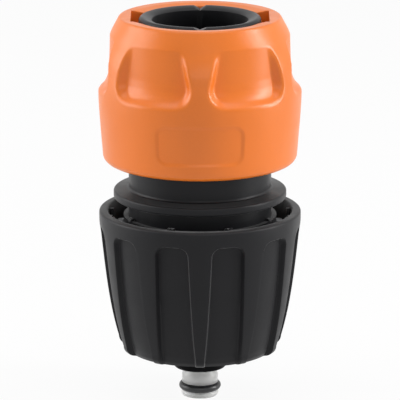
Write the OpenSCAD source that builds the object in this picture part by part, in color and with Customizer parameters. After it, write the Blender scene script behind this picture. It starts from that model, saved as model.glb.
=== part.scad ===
// Garden hose quick connector with automatic water stop.
// The hose is clamped in the nut at the top, and the tap adapter is pushed into the mouth below.
// The origin is the centre of the mouth, at the sleeve's lower edge. +Z points towards the hose.
// Sizes are in millimetres. Azimuth 0 is +X, and the front is -Y.
// The radii build up from the socket and the valve chamber, wall by wall, and the heights from the mouth.

/* [Hose nut] */
// Length of the nut along the axis
nut_len = 29.1; // [27:0.1:31]
// Wall of the nut from the thread to the widest ring
nut_wall = 4.45; // [4.2:0.05:4.8]
// Set-back of the skirt's lower end from the widest ring
nut_taper = 0.8; // [0.4:0.05:1]
// Rounding of the skirt's lower edge
nut_bottom_round = 1.7; // [1:0.1:2]
// Width of the flat rim round the opening
nut_rim_w = 3.1; // [2.6:0.1:3.3]
// Height of the opening's edge below the rim
nut_lip_drop = 0.4; // [0.2:0.1:0.6]
// Gap between the opening and the grip ring's collar
nut_opening_gap = 0.45; // [0.35:0.05:0.6]
// Number of finger recesses
grip_count = 6; // [5:1:7]
// Depth of a finger recess below the widest ring
grip_depth = 2.3; // [1.9:0.05:2.5]
// Width of a finger recess's floor
grip_floor_w = 12.4; // [10:0.1:12.8]
// Angle of a finger recess's side walls from the straight way in
grip_wall_angle = 57.8; // [40:0.1:64]
// Width of a finger recess's rounded outline
grip_w = 17.2; // [15:0.1:17.8]
// Rounding of the outline's lower corners
grip_round = 4; // [2.5:0.1:5]
// Height of the recess's lower edge over the nut's lower end
grip_foot = 14.6; // [14:0.1:16]
// Height of the recess's upper edge below the rim
grip_head = 3.1; // [2.6:0.1:3.6]
// Width of the bare panel on the skirt
panel_w = 17; // [10:0.5:20]
// Height of the bare panel on the skirt
panel_h = 7.4; // [5:0.2:9]
// Depth of the bare panel
panel_depth = 0.25; // [0.1:0.05:0.4]
// Height of the bare panel's lower edge over the nut's lower end
panel_foot = 3.4; // [2.6:0.1:4]
// Reach of the two side notches past the opening
notch_reach = 1.1; // [0.7:0.1:1.5]
// Width of a side notch
notch_w = 11; // [8:0.5:12]
// Depth of a side notch below the rim
notch_depth = 3; // [2:0.1:3.4]

/* [Grip ring] */
// Radius of the bore that the hose passes
collet_bore_r = 9.5; // [9.2:0.05:10]
// Wall of the grip ring's collar
collet_wall = 2.55; // [2.2:0.05:2.7]
// Height of the collar at its bore
collet_collar_h = 4.04; // [3.6:0.02:4.4]
// Drop of the grip ring's outer edge below the nut's rim
collet_drop = 0.05; // [0.05:0.05:0.6]
// Fall of the collar's top face from its outer edge to its bore
collet_dish = 0.51; // [0.1:0.01:0.7]
// Height of the whole grip ring at its bore
collet_h = 11.3; // [9:0.1:11.4]
// Number of slots that part the fingers
collet_slots = 6; // [4:1:8]
// Width of a slot
collet_slot_w = 1.6; // [1:0.1:2.2]
// Depth of the grip ridges
ridge_depth = 0.3; // [0.15:0.05:0.4]
// Width of the two V notches in the top face
vee_w = 3; // [2:0.1:4]
// Depth of the two V notches in the top face
vee_depth = 0.8; // [0.4:0.05:1]

/* [Stem] */
// Wall of the neck round the spigot
neck_wall = 2.2; // [2:0.05:2.4]
// Width of the flange round the neck
flange_w = 3; // [2.4:0.05:3.2]
// Thickness of the flange at its rim
flange_t = 1.75; // [1.3:0.05:2.2]
// Height of the flange's underside over the shoulder
flange_rise = 4.25; // [4:0.05:5]
// Length of the neck between the flange and the nut
neck_free = 5.6; // [5:0.1:6.4]
// Step of the thread out of the neck
thread_step = 1.15; // [0.9:0.05:1.3]
// Height of the thread's start inside the nut
thread_inset = 4.3; // [3.8:0.1:5]
// Wall between the hose space and the thread
thread_wall = 4.4; // [3.6:0.1:4.8]
// Free space between the thread's end and the grip ring's fingers
thread_clear = 0.74; // [0.4:0.02:1.5]
// Height of the hose tail's end over the thread's end
tail_rise = 5; // [3:0.1:6]
// Outer radius of the hose tail's barbs
barb_r = 7.3; // [6.8:0.05:7.5]
// Depth of the steps between the barbs
barb_depth = 0.7; // [0.4:0.05:0.9]
// Wall of the hose tail
tail_wall = 2; // [1.6:0.1:2.4]
// Number of barbs
barb_count = 4; // [3:1:5]

/* [Socket body] */
// Radius of the socket that takes the tap adapter
socket_r = 8.85; // [8.6:0.05:8.9]
// Wall of the barrel round the socket
barrel_wall = 3.7; // [3.6:0.05:3.8]
// Depth of the socket from the mouth
socket_depth = 19.5; // [18.5:0.1:19.8]
// Set-back of the barrel's end from the sleeve's edge
barrel_setback = 0.8; // [0.4:0.1:1.4]
// Height of the shoulder's top over the socket's end
shoulder_rise = 7.4; // [7:0.1:7.8]
// Thickness of the shoulder
shoulder_t = 3.4; // [3.2:0.1:3.8]
// Step of the shoulder out of the neck
shoulder_w = 1.05; // [0.8:0.05:1.2]
// Step of the valve chamber out of the socket
chamber_step = 0.55; // [0.35:0.05:0.65]
// Wall of the spigot that the stem is pushed on
spigot_wall = 2.35; // [2.2:0.05:2.6]
// Length of the spigot over the shoulder
spigot_len = 9.1; // [8.6:0.1:9.4]
// Width of the ledge that carries the valve guide
ledge_w = 1.5; // [1.2:0.05:2]
// Thickness of the ledge
ledge_t = 2; // [1.6:0.1:2.4]
// Section diameter of the rubber ring on the spigot
body_ring_d = 1.8; // [1.5:0.05:1.9]
// Thickness of the thin ring on the shoulder
ring_t = 0.65; // [0.5:0.05:0.8]
// Height of the bumps on the thin ring
ring_bump_h = 0.45; // [0.3:0.05:0.6]
// Clearance of the thin ring round the neck
ring_fit = 0.1; // [0.05:0.01:0.2]

/* [Claws] */
// Width of a claw
claw_w = 4.4; // [3.6:0.1:4.8]
// Side clearance of a claw in its slot
claw_gap = 0.4; // [0.3:0.05:0.5]
// Swing of a claw in degrees
claw_swing = 5; // [4:0.1:5.4]
// Distance of the trunnion's axis from the barrel's surface
pivot_inset = 1.65; // [1.55:0.05:1.75]
// Height of the trunnion's axis over the mouth
pivot_z = 17; // [16.8:0.1:17.4]
// Radius of a trunnion
trunnion_r = 1.2; // [1:0.05:1.3]
// Radial clearance of a trunnion in its seat
trunnion_fit = 0.08; // [0.04:0.01:0.1]
// Reach of a trunnion beside the claw
trunnion_reach = 1.6; // [1.2:0.1:1.8]
// Reach of the hook into the socket
hook_bite = 0.85; // [0.75:0.05:1]
// Height of the hook's upper face over the mouth
hook_top_z = 6.4; // [6:0.1:6.8]
// Reach of the tail's tip out of the barrel's surface
tip_reach = 4.15; // [4:0.05:4.3]

/* [Release sleeve] */
// Thickness of the rim
rim_wall = 1.75; // [1.5:0.05:2]
// Room between the tails' tips and the rim
rim_room = 1.6; // [1.5:0.05:1.8]
// Height of the rim over the shoulder
rim_rise = 1.7; // [1.4:0.1:2]
// Height of the straight band under the rim's edge
rim_band = 2.6; // [2:0.1:3]
// Thickness of the wall under the rim
sleeve_wall = 2.2; // [2:0.05:2.4]
// Straight part of the sleeve's taper
sleeve_taper = 2.6; // [2.2:0.05:3]
// Curved part of the sleeve's taper
sleeve_curl = 1.57; // [1:0.05:1.8]
// Rounding of the sleeve's lower edge
sleeve_edge = 1.9; // [1.4:0.1:2.1]
// Number of flutes
flute_count = 11; // [9:1:12]
// Depth of a flute
flute_depth = 1.1; // [0.8:0.05:1.3]
// Width of a flute at its top
flute_high_w = 6.4; // [5.4:0.1:7]
// Width of a flute at the sleeve's lower edge
flute_low_w = 7.4; // [6.4:0.1:7.6]
// Distance of the flutes' upper ends from the rim
flute_drop = 3.3; // [2.8:0.1:4.4]
// Radial clearance of the guide ring on the barrel
sleeve_gap = 0.35; // [0.3:0.05:0.4]
// Height of the guide ring's underside
guide_z = 5.5; // [5.3:0.1:5.7]
// Height of the guide ring
guide_h = 3.5; // [3:0.1:3.8]
// Travel of the sleeve when it is pulled back
sleeve_travel = 4.5; // [4:0.1:4.6]

/* [Valve] */
// Radius of the valve stem
valve_shaft_r = 3.25; // [3.1:0.05:3.3]
// Wall of the hollow valve stem
valve_wall = 1.35; // [1.1:0.05:1.6]
// Radial clearance of the valve stem in the guide
valve_fit = 0.1; // [0.06:0.01:0.1]
// Reach of the valve's nose below the mouth
nose_reach = 10; // [9.4:0.1:10.6]
// Step of the nose out of the valve stem
nose_step = 0.43; // [0.3:0.01:0.5]
// Section diameter of the nose ring
nose_ring_d = 1.5; // [1.3:0.05:1.6]
// Reach of the nose ring out of the nose
nose_ring_reach = 0.52; // [0.4:0.01:0.6]
// Wall of the guide tube round the nose ring's space
guide_wall = 0.9; // [0.8:0.05:1.1]
// Reach of the guide tube below the mouth
guide_tube_reach = 4; // [3.5:0.1:4.3]
// Thickness of the valve guide's disc
disc_t = 2; // [1.9:0.1:2.2]
// Section diameter of the rubber ring round the disc
guide_ring_d = 1.2; // [1:0.05:1.25]
// Thickness of the flat seal
seal_t = 1.2; // [0.9:0.1:1.6]
// Thickness of the valve's head
head_t = 1.6; // [1.3:0.1:1.9]
// Overlap of the valve's head past the raised seat
head_overlap = 1.35; // [1.1:0.05:1.6]

/* [Springs] */
// Wire diameter of the sleeve's spring
sleeve_wire = 1; // [0.8:0.05:1.1]
// Coils of the sleeve's spring
sleeve_coils = 6; // [5:1:7]
// Room between the barrel and the sleeve's spring
sleeve_spring_room = 0.9; // [0.7:0.05:1]
// Wire diameter of the valve's spring
valve_wire = 0.8; // [0.6:0.05:0.9]
// Coils of the valve's spring
valve_coils = 6; // [5:1:7]
// Room between the spring bosses and the valve's spring
valve_spring_room = 0.5; // [0.4:0.05:0.6]
// Thickness of the flat washer over the sleeve's spring
washer_t = 0.5; // [0.4:0.05:0.6]
// Thickness of the disc over the valve's spring
holder_t = 1.3; // [1.1:0.05:1.6]

/* [Hidden] */
$fn = 96;
// Reach of a cutter past the face that it cuts
cut = 0.5;
// Gap between flat faces that rest on each other
seat = 0.05;
// Gap between pieces that move past each other
gap = 0.3;
// Usual chamfer or rounding of a moulded edge
edge = 0.4;
// Fine chamfer of a moulded edge
nick = 0.2;

// Radii of the socket body and what is pushed on it
barrel_r = socket_r + barrel_wall;
chamber_r = socket_r + chamber_step;
spigot_r = chamber_r + spigot_wall;
ledge_r = chamber_r - ledge_w;
skirt_bore_r = spigot_r + nick;
neck_r = skirt_bore_r + neck_wall;
flange_r = neck_r + flange_w;
shoulder_r = neck_r + shoulder_w;
thread_r = neck_r + thread_step;
hose_space_r = thread_r - thread_wall;
tail_r = barb_r - barb_depth;
tail_bore_r = tail_r - tail_wall;

// Radii of the nut and the grip ring
nut_thread_r = thread_r + gap;
nut_r = nut_thread_r + nut_wall;
nut_bottom_r = nut_r - nut_taper;
grip_floor_r = nut_r - grip_depth;
collet_r = collet_bore_r + collet_wall;
nut_opening_r = collet_r + nut_opening_gap;
nut_rim_r = nut_opening_r + nut_rim_w;
collet_cone_r = nut_thread_r - 2 * gap;

// Heights of the body, from the mouth up
ledge_top_z = socket_depth + ledge_t;
shoulder_top_z = socket_depth + shoulder_rise;
shoulder_z = shoulder_top_z - shoulder_t;
spigot_top_z = shoulder_top_z + spigot_len;
body_ring_z = shoulder_top_z + 2 * spigot_len / 3;
body_groove_w = body_ring_d + nick;
body_groove = body_ring_d - seat;
flange_z = shoulder_top_z + flange_rise;
flange_top_z = flange_z + flange_t;
holder_z = spigot_top_z + seat;
washer_z = shoulder_z - seat - washer_t;

// Heights of the nut and the grip ring
nut_z = flange_top_z + neck_free;
nut_top_z = nut_z + nut_len;
nut_opening_z = nut_top_z - nut_lip_drop;
cone_top_z = nut_top_z - notch_depth - nick / 2;
cone_h = 6;
cone_low_z = cone_top_z - cone_h;
grip_low_z = nut_z + grip_foot;
grip_high_z = nut_top_z - grip_head;
collet_top_z = nut_top_z - collet_drop;
collet_edge_z = collet_top_z - collet_dish;
collet_collar_z = collet_edge_z - collet_collar_h;
collet_low_z = collet_edge_z - collet_h;
// Nut's shoulder from the rim down: depth below the rim and set-back from the widest ring
nut_shoulder = [[2.5, 2.8], [4.1, 2.1], [5.6, 1.35], [7.3, 0.75], [9.6, 0.35]];
nut_ring_z = nut_z + 13.2;
// Foot of a finger recess: rise out of the floor and height over the lower edge
grip_scoop = [[0.35, 2.6], [0.6, 1.9], [1.6, 1], [2.2, 0.2], [2.8, -1]];

// Heights of the stem's upper part
thread_z = nut_z + thread_inset;
thread_top_z = collet_low_z - thread_clear;
tail_top_z = thread_top_z + tail_rise;
web_z = thread_z + 3.2;
web_t = 3;
web_top_z = web_z + web_t;

// Claws
pivot_r = barrel_r - pivot_inset;
hook_r = socket_r - hook_bite;
hook_root_r = socket_r + 0.35;
claw_low_z = barrel_setback + 0.9;
heel_z = 5.6;
heel_h = 2.6;
tail_in_r = barrel_r - 1.15;
tail_out_r = barrel_r - 0.15;
tip_r = barrel_r + tip_reach;
tip_z = shoulder_top_z - 1.7;
slot_floor_r = barrel_r - 2.05;
claw_angles = [0, 90, 180, 270];

// Release sleeve
rim_bore_r = tip_r + rim_room;
sleeve_r = rim_bore_r + rim_wall;
sleeve_top_z = shoulder_top_z + rim_rise;
flute_top_z = sleeve_top_z - flute_drop;
band_z = sleeve_top_z - rim_band;
guide_ring_r = barrel_r + sleeve_gap;
guide_top_z = guide_z + guide_h;
lug_r = guide_ring_r + 0.5;
cam_r = tip_r - (tip_z - pivot_z) * sin(claw_swing) + 0.065;
cam_z = tip_z - sleeve_travel + 0.7;
cam_top_z = tip_z + 1.2;
cam_low_z = cam_z - 4;
pocket_r = barrel_r + gap;
pocket_z = heel_z - sleeve_travel + 0.1;
pocket_top_z = heel_z + heel_h + nick;
pocket_flare = (pivot_z - heel_z) * sin(claw_swing) + 0.48;

// Valve, from its guide up
bore_r = valve_shaft_r + valve_fit;
nose_r = valve_shaft_r + nose_step;
nose_ring_r = nose_r + nose_ring_reach;
counterbore_r = nose_ring_r + 0.15;
guide_tube_r = counterbore_r + guide_wall;
valve_bore_r = valve_shaft_r - valve_wall;
valve_head_r = guide_tube_r + head_overlap;
boss_r = valve_head_r - 2.1;
disc_z = ledge_top_z + seat;
disc_r = chamber_r - 0.1;
guide_groove = guide_ring_d + seat;
seat_rise = 0.6;
seat_z = disc_z + disc_t + seat_rise;
seal_z = seat_z + seat;
head_z = seal_z + seal_t;
head_top_z = head_z + head_t;
nose_z = -nose_reach;
nose_groove_z = nose_z + 1.2;
nose_groove_h = nose_ring_d + 0.1;
collar_top_z = nose_z + 4.4;
port_r = 1.2;

// Points of an arc in a profile, from angle a0 to a1
function arc(r, z, radius, a0, a1, steps = 6) =
    [for (i = [0:steps]) let (a = a0 + (a1 - a0) * i / steps)
        [r + radius * cos(a), z + radius * sin(a)]];

// A radial plate: a profile of radius and height, drawn at azimuth 0 with the given width
module radial_plate(points, width) {
    translate([0, width / 2, 0])
        rotate([90, 0, 0])
            linear_extrude(height = width)
                polygon(points);
}

// A block that looks outwards at azimuth 0, from an outline of width and height
module radial_block(outline, depth) {
    rotate([90, 0, 90])
        linear_extrude(height = depth)
            polygon(outline);
}

// Part of a ring, centred on azimuth 0
module ring_sector(points, angle) {
    rotate([0, 0, -angle / 2])
        rotate_extrude(angle = angle)
            polygon(points);
}

// A flat ring
module washer(inner_r, outer_r, z, height) {
    translate([0, 0, z])
        difference() {
            cylinder(r = outer_r, h = height);
            translate([0, 0, -cut])
                cylinder(r = inner_r, h = height + 2 * cut);
        }
}

// An upright trapezium with rounded corners, as points across and up
function rounded_trapezium(low_w, high_w, z0, z1, low_r, high_r) = concat(
    arc(-low_w / 2 + low_r, z0 + low_r, low_r, 180, 270),
    arc(low_w / 2 - low_r, z0 + low_r, low_r, 270, 360),
    arc(high_w / 2 - high_r, z1 - high_r, high_r, 0, 90),
    arc(-high_w / 2 + high_r, z1 - high_r, high_r, 90, 180));

// A rubber ring of round section
module rubber_ring(mean_r, section_d, z) {
    translate([0, 0, z])
        rotate_extrude()
            translate([mean_r, 0])
                circle(d = section_d);
}

// Height of a spring's wire after t turns, with one flat turn at each end
function coil_height(t, turns, z0, z1, wire) =
    let (flat = 1.15 * wire, low = z0 + wire / 2, high = z1 - wire / 2)
    t < 1 ? low + flat * t :
    t > turns - 1 ? high - flat * (turns - t) :
    low + flat + (high - low - 2 * flat) * (t - 1) / (turns - 2);

// A compression spring, swept along its own helix
module coil_spring(mean_r, wire, turns, z0, z1, sides = 8, steps = 16) {
    rings = turns * steps;
    points = [for (i = [0:rings], j = [0:sides - 1])
        let (a = 360 * i / steps, b = 360 * j / sides, r = mean_r + wire / 2 * cos(b))
        [r * cos(a), r * sin(a), coil_height(i / steps, turns, z0, z1, wire) + wire / 2 * sin(b)]];
    walls = [for (i = [0:rings - 1], j = [0:sides - 1])
        let (k = (j + 1) % sides)
        [i * sides + j, i * sides + k, (i + 1) * sides + k, (i + 1) * sides + j]];
    start_cap = [[for (j = [0:sides - 1]) sides - 1 - j]];
    end_cap = [[for (j = [0:sides - 1]) rings * sides + j]];
    polyhedron(points = points, faces = concat(walls, start_cap, end_cap), convexity = 10);
}

// Outer line of the nut over a rib, from the top rim down
function nut_outer() = concat(
    arc(nut_rim_r, nut_top_z - cut, cut, 90, 25, 4),
    [for (p = nut_shoulder) [nut_r - p[1], nut_top_z - p[0]]],
    [[nut_r, nut_ring_z]],
    arc(nut_bottom_r - nut_bottom_round, nut_z + nut_bottom_round, nut_bottom_round, 0, -90));

// Inner line of the nut, from the lower end up
function nut_inner() = [
    [nut_thread_r + 2 * edge, nut_z],
    [nut_thread_r, nut_z + 4 * edge],
    [nut_thread_r, cone_low_z - 1],
    [nut_thread_r - gap, cone_low_z],
    [nut_opening_r + nick, cone_top_z],
    [nut_opening_r, cone_top_z + nick],
    [nut_opening_r, nut_opening_z - nick],
    [nut_opening_r + gap, nut_opening_z],
    [nut_opening_r + nut_rim_w / 2, nut_top_z]];

// One finger recess: the space outside its floor, between sloping side walls, within a rounded outline
module grip_cutter() {
    floor_x = sqrt(pow(grip_floor_r, 2) - pow(grip_floor_w / 2, 2));
    slope = tan(grip_wall_angle);
    intersection() {
        rotate_extrude()
            polygon(concat(
                [[grip_floor_r - 0.1, grip_high_z]],
                [for (p = grip_scoop) [grip_floor_r + p[0], grip_low_z + p[1]]],
                [[nut_r + 4, grip_low_z - 1],
                 [nut_r + 4, nut_top_z],
                 [grip_floor_r - 0.1, nut_top_z]]));
        radial_block(
            rounded_trapezium(grip_w, grip_w - 1, grip_low_z, grip_high_z, grip_round, grip_round / 2),
            nut_r + 5);
        translate([0, 0, nut_z])
            linear_extrude(height = nut_len)
                polygon([for (p = [[-2, 1], [5, 1], [5, -1], [-2, -1]])
                    [floor_x + p[0], p[1] * (grip_floor_w / 2 + p[0] * slope)]]);
    }
}

// The bare panel: a shallow recess that follows the skirt's slope, on the front
module panel_cutter() {
    panel_low_z = nut_z + panel_foot;
    panel_high_z = panel_low_z + panel_h;
    rotate([0, 0, -90])
        intersection() {
            rotate_extrude()
                polygon([
                    [nut_bottom_r + 0.12 - panel_depth, nut_z + nut_bottom_round],
                    [nut_r + 3, nut_z + nut_bottom_round],
                    [nut_r + 3, panel_high_z + 2],
                    [nut_r - 0.02 - panel_depth, panel_high_z + 2]]);
            radial_block(
                rounded_trapezium(panel_w, panel_w, panel_low_z, panel_high_z, 1.8, 1.8),
                nut_r + 4);
        }
}

module hose_nut() {
    color([0.93, 0.51, 0.24])
    difference() {
        rotate_extrude()
            polygon(concat(nut_outer(), nut_inner()));
        for (i = [0:grip_count - 1])
            rotate([0, 0, -90 + (i + 0.5) * 360 / grip_count])
                grip_cutter();
        for (side = [0, 180])
            rotate([0, 0, side])
                translate([nut_opening_r - 4, -notch_w / 2, nut_top_z - notch_depth])
                    cube([notch_reach + 4, notch_w, notch_depth + cut]);
        panel_cutter();
    }
}

// Grip ring: a collar with split fingers that the nut's cone presses on the hose
module collet() {
    finger_r = collet_bore_r + 0.25;
    round_r = 0.8;
    ridge_pitch = 1.3;
    color([0.23, 0.24, 0.26])
    difference() {
        rotate_extrude()
            polygon(concat(
                [[collet_bore_r, collet_edge_z - nick],
                 [collet_bore_r + nick, collet_edge_z]],
                arc(collet_r - round_r, collet_top_z - round_r, round_r, 100, 0, 5),
                [[collet_r, cone_top_z - nick],
                 [collet_cone_r, cone_low_z + edge],
                 [collet_cone_r, collet_low_z + 1.5 * edge],
                 [collet_cone_r - 1.5 * edge, collet_low_z],
                 [finger_r + 2 * edge, collet_low_z],
                 [finger_r, collet_low_z + 2 * edge]],
                [for (i = [0:3]) each [
                    [finger_r, collet_low_z + 1.2 + i * ridge_pitch],
                    [finger_r - ridge_depth, collet_low_z + 2.2 + i * ridge_pitch],
                    [finger_r, collet_low_z + 2.4 + i * ridge_pitch]]],
                [[finger_r, collet_collar_z],
                 [collet_bore_r, collet_collar_z]]));
        for (i = [0:collet_slots - 1])
            rotate([0, 0, (i + 0.5) * 360 / collet_slots])
                translate([0, -collet_slot_w / 2, collet_low_z - cut])
                    cube([nut_r, collet_slot_w, collet_collar_z - collet_low_z]);
        // The two V notches in the collar's top face
        for (side = [90, 270])
            rotate([0, 0, side])
                radial_block([
                    [-vee_w / 2, collet_top_z + cut / 5],
                    [0, collet_top_z - vee_depth],
                    [vee_w / 2, collet_top_z + cut / 5]], nut_r);
    }
}

// Line of the hose tail's barbs, from the web up
function tail_line() =
    let (pitch = (tail_top_z - web_top_z - 3) / barb_count, start = web_top_z + 2.2)
    [for (i = [0:barb_count - 1]) each [
        [tail_r, start + i * pitch],
        [barb_r, start + nick + i * pitch],
        [tail_r, start + (i + 0.92) * pitch]]];

// Stem: hose tail, threaded ring, neck and flange in one moulding
module stem() {
    color([0.2, 0.21, 0.23])
    rotate_extrude()
        polygon(concat(
            [[skirt_bore_r, shoulder_top_z + seat],
             [neck_r, shoulder_top_z + seat],
             [neck_r, flange_z - gap],
             [neck_r + gap, flange_z],
             [flange_r - edge, flange_z],
             [flange_r, flange_z + edge]],
            arc(flange_r - edge, flange_top_z - edge - nick / 2, edge, 0, 80, 3),
            [[neck_r + 3 * nick, flange_top_z + nick],
             [neck_r + nick, flange_top_z + edge],
             [neck_r, flange_top_z + 2 * edge],
             [neck_r, thread_z - 1.5 * edge],
             [thread_r, thread_z + edge],
             [thread_r, thread_top_z - 2 * edge],
             [thread_r - 2 * edge, thread_top_z],
             [hose_space_r + 1.5 * edge, thread_top_z],
             [hose_space_r, thread_top_z - 2 * edge],
             [hose_space_r, web_top_z],
             [tail_r, web_top_z]],
            tail_line(),
            [[tail_r - nick / 2, tail_top_z - cut],
             [tail_r - 2 * edge, tail_top_z],
             [tail_bore_r, tail_top_z],
             [tail_bore_r, web_z + 1],
             [chamber_r, web_z - 3.5],
             [chamber_r, holder_z + holder_t + seat],
             [skirt_bore_r, holder_z + holder_t + seat]]));
}

// Rubber ring between the stem and the socket body
module body_oring() {
    color([0.08, 0.08, 0.09])
        rubber_ring(skirt_bore_r - 0.06 - body_ring_d / 2, body_ring_d, body_ring_z);
}

// The slot of one claw, at azimuth 0
module claw_slot() {
    slot_w = claw_w + 2 * claw_gap;
    seat_w = claw_w + 2 * (trunnion_reach + claw_gap / 2);
    slot_low_z = barrel_setback + edge;
    radial_plate([
        [socket_r - 2, slot_low_z],
        [shoulder_r + 1, slot_low_z],
        [shoulder_r + 1, shoulder_top_z + cut],
        [slot_floor_r, shoulder_top_z + cut],
        [slot_floor_r, pivot_z + 1.2],
        [socket_r - 2, pivot_z - 2.6]], slot_w);
    translate([pivot_r, seat_w / 2, pivot_z])
        rotate([90, 0, 0])
            cylinder(r = trunnion_r + trunnion_fit, h = seat_w);
}

// Socket body: barrel, shoulder, spigot and the stop lugs of the sleeve
module socket_body() {
    lead = 0.7;
    lug_top_z = guide_z - gap;
    lug_ramp_z = lug_top_z - 0.9;
    lug_low_z = lug_ramp_z - 1.5;
    color([0.16, 0.17, 0.18])
    difference() {
        union() {
            rotate_extrude()
                polygon([
                    [socket_r + lead, barrel_setback],
                    [barrel_r - cut, barrel_setback],
                    [barrel_r, barrel_setback + cut],
                    [barrel_r, shoulder_z],
                    [shoulder_r - edge, shoulder_z],
                    [shoulder_r, shoulder_z + edge],
                    [shoulder_r, shoulder_top_z],
                    [spigot_r, shoulder_top_z],
                    [spigot_r, body_ring_z - body_groove_w / 2],
                    [spigot_r - body_groove, body_ring_z - body_groove_w / 2],
                    [spigot_r - body_groove, body_ring_z + body_groove_w / 2],
                    [spigot_r, body_ring_z + body_groove_w / 2],
                    [spigot_r, spigot_top_z - edge],
                    [spigot_r - edge, spigot_top_z],
                    [chamber_r, spigot_top_z],
                    [chamber_r, ledge_top_z],
                    [ledge_r, ledge_top_z],
                    [ledge_r, socket_depth],
                    [socket_r, socket_depth],
                    [socket_r, barrel_setback + lead + nick]]);
            for (a = claw_angles)
                rotate([0, 0, a + 45])
                    ring_sector([
                        [barrel_r - gap, lug_low_z],
                        [barrel_r, lug_low_z],
                        [lug_r, lug_ramp_z],
                        [lug_r, lug_top_z],
                        [barrel_r - gap, lug_top_z]], 18);
        }
        for (a = claw_angles)
            rotate([0, 0, a])
                claw_slot();
    }
}

// Thin ring on the shoulder, with small bumps, over the claw slots
module retaining_ring() {
    bump_r = neck_r + ring_fit + 0.15;
    bump_z = shoulder_top_z + ring_t - gap;
    ring_top_z = shoulder_top_z + ring_t;
    color([0.3, 0.31, 0.33]) {
        washer(neck_r + ring_fit, shoulder_r, shoulder_top_z + seat, ring_t);
        for (i = [0:7])
            rotate([0, 0, 22.5 + i * 45])
                ring_sector([
                    [bump_r, bump_z],
                    [shoulder_r - 0.1, bump_z],
                    [shoulder_r - 0.1, ring_top_z + 2 * ring_bump_h / 3],
                    [bump_r, ring_top_z + ring_bump_h]], 6);
    }
}

// Flat washer that gives the sleeve's spring an even seat over the claw slots
module spring_washer() {
    color([0.72, 0.73, 0.75])
        washer(barrel_r + 0.15, shoulder_r - 0.1, washer_z, washer_t);
}

// Pierced disc that carries the upper end of the valve's spring
module spring_holder() {
    boss_h = 2.4;
    water_hole_r = 2.2;
    side_hole_r = 1.3;
    color([0.75, 0.76, 0.76])
    difference() {
        union() {
            translate([0, 0, holder_z])
                cylinder(r = skirt_bore_r - 0.1, h = holder_t);
            translate([0, 0, holder_z - boss_h])
                cylinder(r = boss_r + 0.1, h = boss_h + seat);
        }
        translate([0, 0, holder_z - boss_h - cut])
            cylinder(r = water_hole_r, h = boss_h + holder_t + 2 * cut);
        for (i = [0:5])
            rotate([0, 0, i * 60])
                translate([chamber_r - 1.8, 0, holder_z - cut])
                    cylinder(r = side_hole_r, h = holder_t + 2 * cut);
    }
}

// Valve guide: a disc with a raised seat and a long tube down through the socket
module valve_guide() {
    tube_low_z = -guide_tube_reach;
    ring_low_z = disc_z + gap;
    ring_high_z = ring_low_z + guide_ring_d + 0.1;
    color([0.07, 0.07, 0.08])
    rotate_extrude()
        polygon(concat(
            [[counterbore_r, tube_low_z + nick],
             [counterbore_r + nick, tube_low_z]],
            arc(guide_tube_r - edge, tube_low_z + edge, edge, -90, 0, 3),
            [[guide_tube_r, disc_z],
             [disc_r, disc_z],
             [disc_r, ring_low_z],
             [disc_r - guide_groove, ring_low_z],
             [disc_r - guide_groove, ring_high_z],
             [disc_r, ring_high_z],
             [disc_r, disc_z + disc_t],
             [guide_tube_r + seat_rise, disc_z + disc_t],
             [guide_tube_r, seat_z],
             [bore_r + seat_rise, seat_z],
             [bore_r, seat_z - seat_rise],
             [bore_r, nose_step + nick],
             [counterbore_r, -edge]]));
}

module guide_oring() {
    color([0.08, 0.08, 0.09])
        rubber_ring(disc_r + seat - guide_ring_d / 2, guide_ring_d, disc_z + gap + 0.05 + guide_ring_d / 2);
}

// Valve stem: nose, ring groove, collar, hollow shaft with cross ports, head and spring boss
module valve_stem() {
    boss_h = 2.4;
    nose_round = 0.45;
    groove_r = nose_ring_r - nose_ring_d - seat;
    groove_top_z = nose_groove_z + nose_groove_h;
    color([0.78, 0.79, 0.79])
    difference() {
        rotate_extrude()
            polygon(concat(
                [[0, nose_z]],
                arc(nose_r - nose_round, nose_z + nose_round, nose_round, -90, 0, 4),
                [[nose_r, nose_groove_z],
                 [groove_r, nose_groove_z],
                 [groove_r, groove_top_z],
                 [nose_r - 0.08, groove_top_z],
                 [nose_r - 0.08, collar_top_z],
                 [valve_shaft_r, collar_top_z + 2 * edge],
                 [valve_shaft_r, head_z],
                 [valve_head_r, head_z],
                 [valve_head_r, head_top_z - gap],
                 [valve_head_r - gap, head_top_z],
                 [boss_r, head_top_z],
                 [boss_r, head_top_z + boss_h - cut],
                 [boss_r - cut, head_top_z + boss_h],
                 [0, head_top_z + boss_h]]));
        translate([0, 0, nose_z - cut])
            cylinder(r = valve_bore_r, h = seal_z - 2 * edge - nose_z + cut);
        for (a = [0, 90])
            rotate([0, 0, a])
                translate([-nose_r - cut, 0, seal_z - port_r - 0.9])
                    rotate([0, 90, 0])
                        cylinder(r = port_r, h = 2 * (nose_r + cut));
    }
}

// Flat rubber washer under the valve's head
module valve_seal() {
    color([0.08, 0.08, 0.09])
        washer(valve_shaft_r + 0.02, valve_head_r - nick, seal_z, seal_t);
}

module nose_oring() {
    color([0.07, 0.07, 0.08])
        rubber_ring(nose_ring_r - nose_ring_d / 2, nose_ring_d, nose_groove_z + nose_groove_h / 2);
}

module valve_spring() {
    color([0.75, 0.76, 0.78])
        coil_spring(boss_r + valve_spring_room + valve_wire / 2, valve_wire, valve_coils,
            head_top_z + seat, holder_z - seat);
}

module sleeve_spring() {
    color([0.75, 0.76, 0.78])
        coil_spring(barrel_r + sleeve_spring_room + sleeve_wire / 2, sleeve_wire, sleeve_coils,
            guide_top_z + seat, washer_z - seat);
}

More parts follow.
